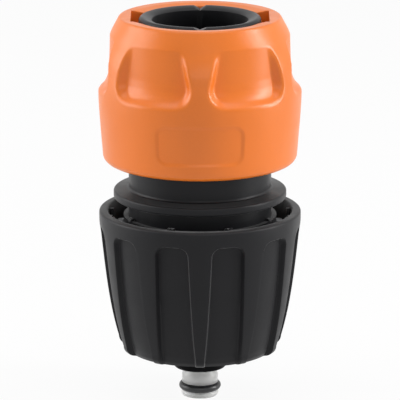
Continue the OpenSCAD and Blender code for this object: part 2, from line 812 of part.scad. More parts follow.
// One claw at azimuth 0: hook below, trunnions in the middle, tail up into the sleeve's rim
module claw() {
    trunnion_len = claw_w + 2 * trunnion_reach;
    color([0.36, 0.37, 0.39]) {
        radial_plate([
            [socket_r + 1.05, claw_low_z],
            [tail_in_r, claw_low_z],
            [barrel_r - 0.45, heel_z - 1],
            [barrel_r, heel_z],
            [barrel_r, heel_z + heel_h],
            [tail_in_r + 0.1, heel_z + heel_h + 1.2],
            [tail_out_r - 0.7, pivot_z - 3],
            [tail_out_r - 0.1, pivot_z],
            [tail_out_r, shoulder_z + 0.1],
            [tail_out_r + 1.8, shoulder_z + 0.5],
            [tip_r - 0.3, tip_z - 0.5],
            [tip_r, tip_z],
            [tip_r - 0.4, tip_z + 0.8],
            [tip_r - 1.3, tip_z + 0.9],
            [tail_out_r + 0.8, tip_z + 0.1],
            [tail_in_r + 0.1, tip_z - 0.6],
            [tail_in_r, pivot_z + 2],
            [pivot_r - 1.3, pivot_z],
            [hook_root_r, pivot_z - 2],
            [hook_root_r, hook_top_z],
            [hook_r + 0.1, hook_top_z],
            [hook_r, hook_top_z - nick],
            [hook_r, hook_top_z - 2],
            [hook_root_r + 0.1, claw_low_z + gap]], claw_w);
        translate([pivot_r, trunnion_len / 2, pivot_z])
            rotate([90, 0, 0])
                cylinder(r = trunnion_r, h = trunnion_len);
    }
}

module claw_right() { claw(); }
module claw_back() { rotate([0, 0, 90]) claw(); }
module claw_left() { rotate([0, 0, 180]) claw(); }
module claw_front() { rotate([0, 0, 270]) claw(); }

// Outer radius of the sleeve at a height: a straight taper that curls in towards the lower edge
function sleeve_radius(z) =
    let (t = (band_z - z) / band_z)
    sleeve_r - 0.05 - sleeve_taper * t - sleeve_curl * pow(t, 3.66);

// Outer line of the sleeve over a rib, from the band down to the lower edge, moved inwards by an inset
function sleeve_line(inset, steps = 6) =
    [for (i = [0:steps])
        let (z = band_z + (sleeve_edge + gap - band_z) * i / steps)
        [sleeve_radius(z) - inset, z]];

// One flute: the space outside its floor, within an outline that widens downwards
module flute_cutter() {
    floor_low_r = sleeve_radius(sleeve_edge) - flute_depth;
    intersection() {
        rotate_extrude()
            polygon(concat(
                [[sleeve_r + 2, flute_top_z + 1],
                 [sleeve_r - flute_depth + nick, flute_top_z + 1]],
                [for (p = sleeve_line(flute_depth)) if (p[1] < flute_top_z && p[1] > sleeve_edge + 1) p],
                [[floor_low_r + 0.1, sleeve_edge + 0.4],
                 [floor_low_r - 0.45, 0.7],
                 [floor_low_r - 1.1, -nick],
                 [floor_low_r - 1.1, -2],
                 [sleeve_r + 2, -2]]));
        radial_block(rounded_trapezium(flute_low_w, flute_high_w, -3, flute_top_z, cut, 1.8), sleeve_r + 3);
    }
}

// Cam that pushes one claw's tail inwards as the sleeve is pulled back, and the guide ribs beside it
module cam_and_ribs() {
    rib_r = rim_bore_r - 0.8;
    rib_root_r = rim_bore_r + nick / 2;
    rib_low_z = sleeve_top_z - 5.8;
    rib_top_z = sleeve_top_z - 0.7;
    radial_plate([
        [tip_r + gap, tip_z + 1],
        [cam_r, cam_z],
        [cam_r + 0.85, cam_low_z],
        [sleeve_radius(cam_low_z) - sleeve_wall + 1, cam_low_z],
        [rim_bore_r + edge, cam_top_z],
        [tip_r + 0.75, cam_top_z]], claw_w + edge);
    for (side = [-1, 1])
        rotate([0, 0, side * 9.5])
            radial_plate([
                [rib_r, rib_low_z + 2.2],
                [rib_r, rib_top_z],
                [rib_root_r, rib_top_z],
                [rib_root_r, rib_low_z],
                [rib_r + 0.5, rib_low_z]], 0.9);
}

// Release sleeve: fluted shell with a guide ring, cams for the claws' tails and guide ribs
module sleeve() {
    round_r = 0.7;
    foot_r = sleeve_radius(sleeve_edge) - sleeve_edge;
    foot_bore_r = foot_r - 0.7;
    color([0.15, 0.155, 0.165]) {
        difference() {
            rotate_extrude()
                polygon(concat(
                    [[rim_bore_r, sleeve_top_z - nick],
                     [rim_bore_r + nick, sleeve_top_z]],
                    arc(sleeve_r - round_r, sleeve_top_z - round_r, round_r, 90, 0, 4),
                    sleeve_line(0),
                    arc(foot_r, sleeve_edge, sleeve_edge, 0, -80, 5),
                    [[foot_r - 0.1, 0],
                     [foot_bore_r + 0.1, 0],
                     [foot_bore_r, nick],
                     [foot_bore_r, guide_z],
                     [guide_ring_r, guide_z],
                     [guide_ring_r, guide_top_z]],
                    [for (p = [guide_top_z, (guide_top_z + cam_z) / 2, cam_z])
                        [sleeve_radius(p) - sleeve_wall, p]],
                    [[rim_bore_r - gap, sleeve_top_z - 4]]));
            for (i = [0:flute_count - 1])
                rotate([0, 0, -90 + (i + 0.5) * 360 / flute_count])
                    flute_cutter();
            // Room for the claws' heels as the sleeve is pulled back
            for (a = claw_angles)
                rotate([0, 0, a])
                    ring_sector([
                        [socket_r, pocket_z],
                        [pocket_r + pocket_flare, pocket_z],
                        [pocket_r, pocket_top_z],
                        [socket_r, pocket_top_z]], 28);
        }
        for (a = claw_angles)
            rotate([0, 0, a])
                cam_and_ribs();
    }
}

hose_nut();
collet();
stem();
body_oring();
socket_body();
retaining_ring();
spring_washer();
spring_holder();
valve_guide();
guide_oring();
valve_stem();
valve_seal();
nose_oring();
valve_spring();
sleeve();
sleeve_spring();
claw_right();
claw_back();
claw_left();
claw_front();
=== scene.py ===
"""Garden hose quick connector: its looks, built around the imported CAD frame."""
import math

import bmesh
import bpy
from bpy.props import FloatProperty, FloatVectorProperty, IntProperty, PointerProperty
from bpy.types import Operator, Panel, PropertyGroup
from mathutils import Matrix, Vector


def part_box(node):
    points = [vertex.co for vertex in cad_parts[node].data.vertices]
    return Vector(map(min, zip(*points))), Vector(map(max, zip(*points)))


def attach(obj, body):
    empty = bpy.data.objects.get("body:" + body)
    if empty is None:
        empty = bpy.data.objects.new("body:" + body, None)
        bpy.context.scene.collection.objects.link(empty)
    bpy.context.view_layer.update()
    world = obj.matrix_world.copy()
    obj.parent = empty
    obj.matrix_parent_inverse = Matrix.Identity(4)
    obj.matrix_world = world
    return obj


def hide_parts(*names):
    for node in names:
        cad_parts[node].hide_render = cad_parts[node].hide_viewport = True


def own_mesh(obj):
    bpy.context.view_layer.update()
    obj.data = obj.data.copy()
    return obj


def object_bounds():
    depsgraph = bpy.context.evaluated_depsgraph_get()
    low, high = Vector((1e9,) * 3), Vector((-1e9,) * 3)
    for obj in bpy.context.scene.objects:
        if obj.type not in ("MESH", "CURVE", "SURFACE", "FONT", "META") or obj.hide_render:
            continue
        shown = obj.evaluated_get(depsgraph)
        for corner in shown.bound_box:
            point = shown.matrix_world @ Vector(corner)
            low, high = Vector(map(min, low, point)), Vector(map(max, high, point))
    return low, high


bl_info = {
    "name": "Garden Hose Quick Connector",
    "version": (1, 0, 0),
    "blender": (4, 5, 0),
    "location": "3D View > Sidebar > Connector",
    "description": "Dresses a garden hose quick connector: nut, stem, sleeve, claws and valve",
    "category": "Object",
}

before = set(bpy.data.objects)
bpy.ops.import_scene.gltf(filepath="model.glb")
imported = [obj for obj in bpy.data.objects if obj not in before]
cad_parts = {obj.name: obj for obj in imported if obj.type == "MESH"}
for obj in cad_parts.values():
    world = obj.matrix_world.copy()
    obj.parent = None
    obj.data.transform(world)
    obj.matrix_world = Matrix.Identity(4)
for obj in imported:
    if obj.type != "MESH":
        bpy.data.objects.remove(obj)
cad_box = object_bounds()

MM = 0.001
TURN = 2 * math.pi
CLAWS = ("claw_right", "claw_back", "claw_left", "claw_front")


def low_mm(node, axis=2):
    """Lowest coordinate of a CAD node, in millimetres."""
    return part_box(node)[0][axis] / MM


def high_mm(node, axis=2):
    """Highest coordinate of a CAD node, in millimetres."""
    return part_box(node)[1][axis] / MM


# ---- Sizes and colours that a user may change --------------------------------


class ConnectorSizes(PropertyGroup):
    """Sizes of the shapes that are modelled here, over those of the CAD solids"""

    nut_segments: IntProperty(
        name="Nut segments", description="Faces round the hose nut", default=396, min=120, max=480)
    recess_lip: FloatProperty(
        name="Recess lip", description="Width of the soft lip round a finger recess",
        default=1.5 * MM, min=0.3 * MM, max=3 * MM, unit="LENGTH")
    recess_floor_r: FloatProperty(
        name="Recess floor", description="Radius of a finger recess's floor",
        default=17.7 * MM, min=17 * MM, max=18.5 * MM, unit="LENGTH")
    panel_depth: FloatProperty(
        name="Panel depth", description="Depth of the bare panel on the nut's skirt",
        default=0.25 * MM, min=0, max=0.5 * MM, unit="LENGTH")
    sleeve_segments: IntProperty(
        name="Sleeve segments", description="Faces round the release sleeve", default=484, min=121, max=594)
    flute_depth: FloatProperty(
        name="Flute depth", description="Depth of a flute in the release sleeve",
        default=1.1 * MM, min=0.4 * MM, max=1.4 * MM, unit="LENGTH")
    flute_lip: FloatProperty(
        name="Flute lip", description="Width of the wall between a flute and a rib",
        default=0.45 * MM, min=0.2 * MM, max=1.2 * MM, unit="LENGTH")
    thread_pitch: FloatProperty(
        name="Thread pitch", description="Rise of the nut's thread in one turn",
        default=3 * MM, min=2 * MM, max=4 * MM, unit="LENGTH")
    thread_depth: FloatProperty(
        name="Thread depth", description="Height of the thread's ridge",
        default=1.0 * MM, min=0.4 * MM, max=1.4 * MM, unit="LENGTH")
    edge_round: FloatProperty(
        name="Edge rounding", description="Width of the rounding on moulded edges",
        default=0.12 * MM, min=0, max=0.3 * MM, unit="LENGTH")


class ConnectorColours(PropertyGroup):
    """Colours of the mouldings"""

    orange: FloatVectorProperty(
        name="Orange", description="Colour of the hose nut",
        default=(0.80, 0.18, 0.012), size=3, min=0, max=1, subtype="COLOR")
    stem_grey: FloatVectorProperty(
        name="Stem grey", description="Colour of the stem and the grip ring",
        default=(0.007, 0.0072, 0.0085), size=3, min=0, max=1, subtype="COLOR")
    sleeve_black: FloatVectorProperty(
        name="Sleeve black", description="Colour of the release sleeve and the socket body",
        default=(0.006, 0.0059, 0.0072), size=3, min=0, max=1, subtype="COLOR")
    claw_grey: FloatVectorProperty(
        name="Claw grey", description="Colour of the claws",
        default=(0.18, 0.183, 0.195), size=3, min=0, max=1, subtype="COLOR")
    guide_black: FloatVectorProperty(
        name="Guide black", description="Colour of the glossy valve guide",
        default=(0.003, 0.003, 0.0035), size=3, min=0, max=1, subtype="COLOR")
    natural: FloatVectorProperty(
        name="Natural plastic", description="Colour of the valve stem",
        default=(0.70, 0.70, 0.69), size=3, min=0, max=1, subtype="COLOR")
    rubber: FloatVectorProperty(
        name="Rubber", description="Colour of the rubber rings",
        default=(0.010, 0.010, 0.011), size=3, min=0, max=1, subtype="COLOR")
    steel: FloatVectorProperty(
        name="Steel", description="Colour of the springs",
        default=(0.60, 0.60, 0.62), size=3, min=0, max=1, subtype="COLOR")


class StudioSettings(PropertyGroup):
    """Light and camera"""

    side_power: FloatProperty(
        name="Side lights", description="Power of each soft box beside the object",
        default=4.1, min=0, max=200)
    top_power: FloatProperty(
        name="Top light", description="Power of the soft box over the object",
        default=2.4, min=0, max=200)
    front_power: FloatProperty(
        name="Front light", description="Power of the weak fill from the front",
        default=1.0, min=0, max=200)
    ambient: FloatProperty(
        name="Ambient", description="Strength of the even light from all sides",
        default=0.2, min=0, max=2)
    distance: FloatProperty(
        name="Camera distance", description="Distance of the camera from the point it looks at",
        default=0.704, min=0.2, max=5, unit="LENGTH")
    elevation: FloatProperty(
        name="Camera elevation", description="Height of the view over the horizon",
        default=math.radians(14.2), min=0, max=math.pi / 2, subtype="ANGLE")
    target_height: FloatProperty(
        name="Target height", description="Height of the point that the camera looks at",
        default=30.3 * MM, unit="LENGTH")
    lens: FloatProperty(
        name="Lens", description="Focal length in millimetres on a 36 mm sensor",
        default=318.6, min=20, max=600)


# ---- Lines and outlines, in millimetres ---------------------------------------


def soft_step(x):
    """From 0 to 1 with a soft start and a soft end."""
    t = max(0.0, min(1.0, x))
    return t * t * (3 - 2 * t)


def arc(r, z, radius, start, end, steps):
    """Points of an arc in a profile of radius and height, angles in degrees."""
    turns = [math.radians(start + (end - start) * i / steps) for i in range(steps + 1)]
    return [(r + radius * math.cos(a), z + radius * math.sin(a)) for a in turns]


def dense(points, step):
    """The same straight lines with a point at least every step."""
    line = [points[0]]
    for (r0, z0), (r1, z1) in zip(points, points[1:]):
        parts = max(1, math.ceil(math.hypot(r1 - r0, z1 - z0) / step))
        line += [(r0 + (r1 - r0) * i / parts, z0 + (z1 - z0) * i / parts) for i in range(1, parts + 1)]
    return line


def smooth_line(points, step):
    """A smooth curve through all the points, with a point at least every step."""
    ends = [points[0]] + list(points) + [points[-1]]
    line = [points[0]]
    for p0, p1, p2, p3 in zip(ends, ends[1:], ends[2:], ends[3:]):
        parts = max(1, math.ceil(math.hypot(p2[0] - p1[0], p2[1] - p1[1]) / step))
        for i in range(1, parts + 1):
            t = i / parts
            line.append(tuple(
                0.5 * (2 * b + (c - a) * t + (2 * a - 5 * b + 4 * c - d) * t * t
                       + (3 * b - a - 3 * c + d) * t ** 3)
                for a, b, c, d in zip(p0, p1, p2, p3)))
    return line


def radius_at(points, z):
    """Radius of a line at a height; the points go upwards."""
    if z <= points[0][1]:
        return points[0][0]
    for (r0, z0), (r1, z1) in zip(points, points[1:]):
        if z <= z1:
            return r0 + (r1 - r0) * (z - z0) / (z1 - z0)
    return points[-1][0]


def outline_distance(u, z, low_w, high_w, low_z, high_z, low_r, high_r):
    """Distance from an upright trapezium with rounded corners, below 0 inside it."""
    share = (z - low_z) / (high_z - low_z)
    slope = (low_w - high_w) / 2 / (high_z - low_z)
    side = (abs(u) - (low_w + (high_w - low_w) * share) / 2) / math.hypot(1, slope)
    end = max(low_z - z, z - high_z)
    corner = low_r if share < 0.5 else high_r
    a, b = side + corner, end + corner
    return min(max(a, b), 0) + math.hypot(max(a, 0), max(b, 0)) - corner


def away_from(angle, centre):
    """Angle from a centre line, between minus half and half a turn."""
    return (angle - centre + math.pi) % TURN - math.pi


# ---- Meshes --------------------------------------------------------------------


def linked(name, bm, crease=40):
    """Makes an object of a bmesh, with smooth faces and sharp edges past the crease angle."""
    mesh = bpy.data.meshes.new(name)
    for f in bm.faces:
        f.smooth = True
    bm.to_mesh(mesh)
    bm.free()
    mesh.set_sharp_from_angle(angle=math.radians(crease))
    obj = bpy.data.objects.new(name, mesh)
    bpy.context.scene.collection.objects.link(obj)
    return obj


def spun(bm, outline, segments, move=None):
    """Spins a closed outline of radius and height round the axis; move(r, angle, z) gives each point's place."""
    verts = [bm.verts.new((r * MM, 0, z * MM)) for r, z in outline]
    edges = [bm.edges.new(pair) for pair in zip(verts, verts[1:] + verts[:1])]
    bmesh.ops.spin(bm, geom=verts + edges, cent=(0, 0, 0), axis=(0, 0, 1), dvec=(0, 0, 0),
                   angle=TURN, steps=segments, use_merge=True, use_duplicate=False)
    bmesh.ops.remove_doubles(bm, verts=bm.verts[:], dist=1e-7)
    bmesh.ops.recalc_face_normals(bm, faces=bm.faces[:])
    if move:
        for v in bm.verts:
            r, angle, z = math.hypot(v.co.x, v.co.y) / MM, math.atan2(v.co.y, v.co.x), v.co.z / MM
            r, angle, z = move(r, angle, z)
            v.co = (r * MM * math.cos(angle), r * MM * math.sin(angle), z * MM)


def add_plate(bm, outline, width, turn):
    """Adds a radial plate: an outline of radius and height, of a width, turned round the axis."""
    verts = [bm.verts.new((r * MM, -width / 2 * MM, z * MM)) for r, z in outline]
    face = bm.faces.new(verts)
    made = bmesh.ops.extrude_face_region(bm, geom=[face])["geom"]
    moved = [v for v in made if isinstance(v, bmesh.types.BMVert)]
    bmesh.ops.translate(bm, verts=moved, vec=(0, width * MM, 0))
    faces = [f for f in bm.faces if all(v in verts or v in moved for v in f.verts)]
    bmesh.ops.recalc_face_normals(bm, faces=faces)
    bmesh.ops.rotate(bm, verts=verts + moved, cent=(0, 0, 0), matrix=Matrix.Rotation(turn, 3, "Z"))
    edges = list({e for f in faces for e in f.edges})
    bmesh.ops.bevel(bm, geom=edges, offset=0.1 * MM, offset_type="OFFSET", affect="EDGES",
                    segments=2, profile=0.5, material=-1, clamp_overlap=True)


def merged_copy(node, name):
    """A copy of a CAD node with its loose triangles joined."""
    bm = bmesh.new()
    bm.from_mesh(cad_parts[node].data)
    bmesh.ops.remove_doubles(bm, verts=bm.verts[:], dist=2e-6)
    bmesh.ops.dissolve_degenerate(bm, edges=bm.edges[:], dist=1e-6)
    return linked(name, bm, 30)


def dress(obj, body, slot, material, *nodes):
    """Rides an object on its body, with its finish, in place of CAD nodes."""
    obj.data.materials.clear()
    obj.data.materials.append(material)
    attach(obj, body)
    if nodes:
        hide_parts(*nodes)
    return obj


def refined(node, name, body, slot, material, rounding=0.0):
    """A joined copy of a CAD node with rounded edges, in its place."""
    obj = dress(merged_copy(node, name), body, slot, material, node)
    if rounding:
        bevel = obj.modifiers.new("rounding", "BEVEL")
        bevel.width = rounding
        bevel.segments = 2
        bevel.limit_method = "ANGLE"
        bevel.angle_limit = math.radians(38)
        bevel.harden_normals = True
    return obj


# ---- Materials -------------------------------------------------------------------


def node(tree, kind, **values):
    """A shader node with its settings; names with an underscore first are input sockets."""
    made = tree.nodes.new(kind)
    for key, value in values.items():
        setattr(made, key, value)
    return made


def new_material(name):
    """An empty node material with its shader, and the object's coordinates."""
    material = bpy.data.materials.new(name)
    material.use_nodes = True
    tree = material.node_tree
    tree.nodes.clear()
    output = node(tree, "ShaderNodeOutputMaterial")
    shader = node(tree, "ShaderNodeBsdfPrincipled")
    place = node(tree, "ShaderNodeTexCoord")
    tree.links.new(shader.outputs["BSDF"], output.inputs["Surface"])
    return material, tree, shader, place


def noise(tree, place, scale, detail=3.0, stretch=(1, 1, 1)):
    """Noise on the object's coordinates, per metre."""
    mapping = node(tree, "ShaderNodeMapping")
    mapping.inputs["Scale"].default_value = stretch
    tree.links.new(place.outputs["Object"], mapping.inputs["Vector"])
    made = node(tree, "ShaderNodeTexNoise")
    made.inputs["Scale"].default_value = scale
    made.inputs["Detail"].default_value = detail
    tree.links.new(mapping.outputs["Vector"], made.inputs["Vector"])
    return made.outputs["Fac"]


def ranged(tree, value, low, high, new_low, new_high):
    """Maps a value from one range to another."""
    made = node(tree, "ShaderNodeMapRange")
    made.inputs["From Min"].default_value = low
    made.inputs["From Max"].default_value = high
    made.inputs["To Min"].default_value = new_low
    made.inputs["To Max"].default_value = new_high
    tree.links.new(value, made.inputs["Value"])
    return made.outputs["Result"]


def mixed(tree, factor, first, second):
    """Mixes two colours; each is a socket or three numbers."""
    made = node(tree, "ShaderNodeMix", data_type="RGBA")
    tree.links.new(factor, made.inputs["Factor"])
    for socket, value in ((made.inputs[6], first), (made.inputs[7], second)):
        if isinstance(value, bpy.types.NodeSocket):
            tree.links.new(value, socket)
        else:
            socket.default_value = (*value, 1)
    return made.outputs[2]


def shade(colour, factor):
    """A colour made lighter or darker."""
    return tuple(min(1.0, c * factor) for c in colour)


def bumped(tree, shader, height, strength, distance):
    """Adds a bump to a shader, distance in metres."""
    bump = node(tree, "ShaderNodeBump")
    bump.inputs["Strength"].default_value = strength
    bump.inputs["Distance"].default_value = distance
    tree.links.new(height, bump.inputs["Height"])
    if shader.inputs["Normal"].links:
        tree.links.new(shader.inputs["Normal"].links[0].from_socket, bump.inputs["Normal"])
    tree.links.new(bump.outputs["Normal"], shader.inputs["Normal"])


def moulded(name, colour, rough, grain, grain_depth, level, flow=0.12, sheen=0.0):
    """Injection-moulded plastic: faint flow shades and a fine etched grain."""
    material, tree, shader, place = new_material(name)
    shader.inputs["Specular IOR Level"].default_value = level
    shader.inputs["Sheen Weight"].default_value = sheen
    shader.inputs["Sheen Roughness"].default_value = 0.35
    flows = ranged(tree, noise(tree, place, 60.0, 4.0, (1, 1, 0.35)), 0.35, 0.65, 0.0, 1.0)
    base = mixed(tree, flows, shade(colour, 1 - flow), shade(colour, 1 + flow * 0.6))
    speckle = ranged(tree, noise(tree, place, grain * 0.6, 2.0), 0.42, 0.6, 0.0, 0.25)
    base = mixed(tree, speckle, base, shade(colour, 1 + flow))
    tree.links.new(base, shader.inputs["Base Color"])
    uneven = ranged(tree, noise(tree, place, 220.0, 5.0), 0.3, 0.7, rough - 0.05, rough + 0.07)
    tree.links.new(uneven, shader.inputs["Roughness"])
    bumped(tree, shader, noise(tree, place, grain, 2.0), grain_depth, 0.02 * MM)
    bumped(tree, shader, noise(tree, place, 120.0, 2.0), 0.12, 0.2 * MM)
    return material


def natural_plastic(name, colour):
    """Unpigmented plastic that lets some light in."""
    material, tree, shader, place = new_material(name)
    cloud = ranged(tree, noise(tree, place, 150.0, 3.0), 0.35, 0.65, 0.0, 1.0)
    base = mixed(tree, cloud, shade(colour, 0.93), shade(colour, 1.04))
    tree.links.new(base, shader.inputs["Base Color"])
    shader.inputs["Subsurface Weight"].default_value = 0.35
    shader.inputs["Subsurface Radius"].default_value = (1.0, 1.0, 0.9)
    shader.inputs["Subsurface Scale"].default_value = 0.8 * MM
    uneven = ranged(tree, noise(tree, place, 300.0, 4.0), 0.3, 0.7, 0.26, 0.4)
    tree.links.new(uneven, shader.inputs["Roughness"])
    bumped(tree, shader, noise(tree, place, 900.0, 3.0), 0.15, 0.02 * MM)
    return material


def rubber(name, colour):
    """Smooth black rubber with a faint bloom."""
    material, tree, shader, place = new_material(name)
    bloom = ranged(tree, noise(tree, place, 700.0, 4.0), 0.45, 0.7, 0.0, 1.0)
    base = mixed(tree, bloom, colour, shade(colour, 1.9))
    tree.links.new(base, shader.inputs["Base Color"])
    uneven = ranged(tree, noise(tree, place, 400.0, 4.0), 0.3, 0.7, 0.3, 0.46)
    tree.links.new(uneven, shader.inputs["Roughness"])
    bumped(tree, shader, noise(tree, place, 2500.0, 2.0), 0.12, 0.02 * MM)
    return material


def drawn_steel(name, colour):
    """Drawn spring wire with fine streaks."""
    material, tree, shader, place = new_material(name)
    shader.inputs["Metallic"].default_value = 1.0
    streaks = ranged(tree, noise(tree, place, 900.0, 3.0, (1, 1, 6)), 0.3, 0.7, 0.0, 1.0)
    base = mixed(tree, streaks, shade(colour, 0.8), shade(colour, 1.1))
    tree.links.new(base, shader.inputs["Base Color"])
    tree.links.new(ranged(tree, streaks, 0.0, 1.0, 0.24, 0.4), shader.inputs["Roughness"])
    bumped(tree, shader, noise(tree, place, 3000.0, 2.0, (1, 1, 5)), 0.1, 0.01 * MM)
    return material


def finish_of(name):
    """The material of a finish, made once."""
    if name in bpy.data.materials:
        return bpy.data.materials[name]
    c = bpy.context.scene.connector_colours
    makers = {
        "orange_moulding": lambda: moulded(name, tuple(c.orange), 0.33, 5200.0, 0.16, 0.5, 0.05),
        "grey_moulding": lambda: moulded(
            name, tuple(c.stem_grey), 0.4, 6000.0, 0.3, 0.2, sheen=0.16),
        "black_moulding": lambda: moulded(
            name, tuple(c.sleeve_black), 0.47, 4200.0, 0.4, 0.22, sheen=0.22),
        "claw_moulding": lambda: moulded(name, tuple(c.claw_grey), 0.36, 6000.0, 0.25, 0.4),
        "guide_gloss": lambda: moulded(name, tuple(c.guide_black), 0.12, 3000.0, 0.05, 0.05),
        "natural_plastic": lambda: natural_plastic(name, tuple(c.natural)),
        "ring_rubber": lambda: rubber(name, tuple(c.rubber)),
        "spring_steel": lambda: drawn_steel(name, tuple(c.steel)),
    }
    return makers[name]()


# ---- Pieces ----------------------------------------------------------------------


class CONNECTOR_OT_hose_nut(Operator):
    """Clamping nut: six scooped finger recesses, a bare panel, side notches and an inner thread"""

    bl_idname = "connector.hose_nut"
    bl_label = "Hose Nut"

    def execute(self, context):
        sizes = context.scene.connector_sizes
        low, top, wide = low_mm("hose_nut"), high_mm("hose_nut"), high_mm("hose_nut", 1)
        rim_r, opening_r, bore_r, bottom_r, edge = 15.6, 12.5, 15.6, 19.25, 1.7
        cone_top = top - 3.1
        cone_low = cone_top - 6
        foot, head = low + 14.6, top - 3.1
        floor_r, lip = sizes.recess_floor_r / MM, sizes.recess_lip / MM
        panel = sizes.panel_depth / MM
        pitch, depth = sizes.thread_pitch / MM, sizes.thread_depth / MM

        outer = smooth_line(
            [(rim_r + 0.48, top - 0.32), (wide - 2.8, top - 2.5), (wide - 2.1, top - 4.1),
             (wide - 1.35, top - 5.6), (wide - 0.75, top - 7.3), (wide - 0.35, top - 9.6),
             (wide, low + 13.2), (bottom_r, low + edge)], 0.3)
        outline = (
            dense([(opening_r, cone_top + 0.2), (opening_r, top - 0.6), (opening_r + 0.05, top - 0.46),
                   (opening_r + 0.3, top - 0.4), (opening_r + 1.6, top - 0.06), (rim_r, top)], 0.3)
            + arc(rim_r, top - 0.5, 0.5, 75, 25, 4)
            + outer
            + arc(bottom_r - edge, low + edge, edge, -12, -90, 7)
            + dense([(bore_r + 0.8, low), (bore_r, low + 1.6)], 0.8)
            + dense([(bore_r, low + 1.6), (bore_r, cone_low - 1)], 0.3)
            + dense([(bore_r - 0.3, cone_low), (opening_r + 0.2, cone_top)], 2))
        floor_line = [
            (floor_r + 3.2, foot - 1.2), (floor_r + 2.6, foot - 0.6), (floor_r + 1.9, foot + 0.2),
            (floor_r + 1.15, foot + 1.0), (floor_r + 0.62, foot + 1.9), (floor_r + 0.36, foot + 2.8),
            (floor_r + 0.2, foot + 4.4), (floor_r, head)]
        centres = [math.radians(-60 + 60 * i) for i in range(6)]

        def move(r, angle, z):
            if r > bore_r + 1.2 and foot - 2.5 < z < head + 2:
                near = min((away_from(angle, c) for c in centres), key=abs)
                gap = outline_distance(wide * math.sin(near), z, 17.5, 12.5, foot, head + 0.3, 4.4, 2.0)
                step = soft_step(0.5 - gap / lip)
                r -= max(0, r - radius_at(floor_line, z)) * step
            elif r > bottom_r - 1 and low + 2.5 < z < low + 12:
                near = away_from(angle, -math.pi / 2)
                if abs(near) < 1:
                    gap = outline_distance(wide * math.sin(near), z, 17, 17, low + 3.4, low + 10.8, 1.8, 1.8)
                    r -= panel * soft_step(0.5 - gap / 0.5)
            elif r < bore_r and z > cone_top + 0.1:
                side = min(abs(away_from(angle, 0)), abs(away_from(angle, math.pi)))
                notch = 13.6 / math.cos(side) if side < 0.384 else 5.5 / math.sin(side)
                if side < 1 and notch > r:
                    r = notch + (r - opening_r) * 0.01
            elif abs(r - bore_r) < 0.01 and low + 1.9 < z < cone_low - 1.5:
                phase = (z / pitch - angle / TURN) % 1
                r += depth * soft_step(4 * abs(phase - 0.5) - 0.5)
            return r, angle, z

        bm = bmesh.new()
        spun(bm, outline, sizes.nut_segments, move)
        dress(linked("nut_moulding", bm, 50), "nut", "orange_plastic", finish_of("orange_moulding"), "hose_nut")
        return {"FINISHED"}


class CONNECTOR_OT_grip_ring(Operator):
    """Grip ring with its split fingers, in the nut's opening"""

    bl_idname = "connector.grip_ring"
    bl_label = "Grip Ring"

    def execute(self, context):
        refined("collet", "grip_ring_moulding", "grip_ring", "grey_plastic", finish_of("grey_moulding"),
                context.scene.connector_sizes.edge_round)
        return {"FINISHED"}


class CONNECTOR_OT_stem(Operator):
    """Stem with its neck, flange, threaded ring and barbed hose tail"""

    bl_idname = "connector.stem"
    bl_label = "Stem"

    def execute(self, context):
        sizes = context.scene.connector_sizes
        pitch, depth = sizes.thread_pitch / MM, 0.8 * sizes.thread_depth / MM
        low, top, flange_r = low_mm("stem"), high_mm("stem"), high_mm("stem", 0)
        bore_r, neck_r, thread_r, space_r, barb_r = 11.95, 14.15, 15.3, 10.9, 7.3
        flange_z, thread_z = low + 4.2, low + 15.85
        thread_top, web_top, edge, fillet = top - 5, top - 11, 0.4, 0.55
        barbs = []
        for i in range(4):
            foot = web_top + 2.2 + 2 * i
            barbs += [(barb_r - 0.7, foot), (barb_r, foot + 0.2), (barb_r - 0.7, foot + 1.84)]
        outline = (
            [(bore_r, low), (neck_r, low)]
            + dense([(neck_r, low + 0.1), (neck_r, flange_z - 0.4), (neck_r, flange_z - 0.3)], 0.8)
            + arc(neck_r + 0.3, flange_z - 0.3, 0.3, 180, 90, 4)[1:]
            + dense([(neck_r + 0.4, flange_z), (flange_r - edge - 0.1, flange_z)], 0.8)
            + arc(flange_r - edge, flange_z + edge, edge, -90, 0, 6)
            + arc(flange_r - edge, flange_z + 1.25, edge, 0, 86, 6)
            + dense([(flange_r - edge - 0.1, flange_z + 1.66), (neck_r + fillet + 0.1, flange_z + 1.94)], 0.6)
            + arc(neck_r + fillet, flange_z + 1.95 + fillet, fillet, 270, 180, 7)
            + dense([(neck_r, flange_z + 2.6), (neck_r, thread_z - 0.6)], 0.8)
            + dense([(thread_r, thread_z + edge), (thread_r, thread_top - 0.8)], 0.3)
            + [(thread_r - 0.8, thread_top), (space_r + 0.6, thread_top), (space_r, thread_top - 0.8),
               (space_r, web_top), (barb_r - 0.7, web_top)]
            + barbs
            + [(barb_r - 0.8, top - 0.5), (barb_r - 1.5, top), (barb_r - 2.7, top), (barb_r - 2.7, web_top - 2),
               (9.4, web_top - 6.5), (9.4, low + 10.45), (bore_r, low + 10.45)])

        def move(r, angle, z):
            if r > thread_r - 0.1 and thread_z + 0.5 < z < thread_top - 0.9:
                phase = (z / pitch - angle / TURN) % 1
                r -= depth * soft_step(4 * abs(phase - 0.5) - 0.5)
            return r, angle, z

        bm = bmesh.new()
        spun(bm, outline, 240, move)
        dress(linked("stem_moulding", bm, 38), "body", "grey_plastic", finish_of("grey_moulding"), "stem")
        refined("body_oring", "stem_seal", "body", "rubber", finish_of("ring_rubber"))
        return {"FINISHED"}


class CONNECTOR_OT_socket(Operator):
    """Socket body with its retaining ring and spring washer"""

    bl_idname = "connector.socket"
    bl_label = "Socket Body"

    def execute(self, context):
        rounding = context.scene.connector_sizes.edge_round
        refined("socket_body", "socket_moulding", "body", "black_plastic", finish_of("black_moulding"), rounding)
        refined("retaining_ring", "bumped_ring", "body", "grey_plastic", finish_of("black_moulding"))
        refined("spring_washer", "spring_seat", "body", "steel", finish_of("spring_steel"))
        return {"FINISHED"}


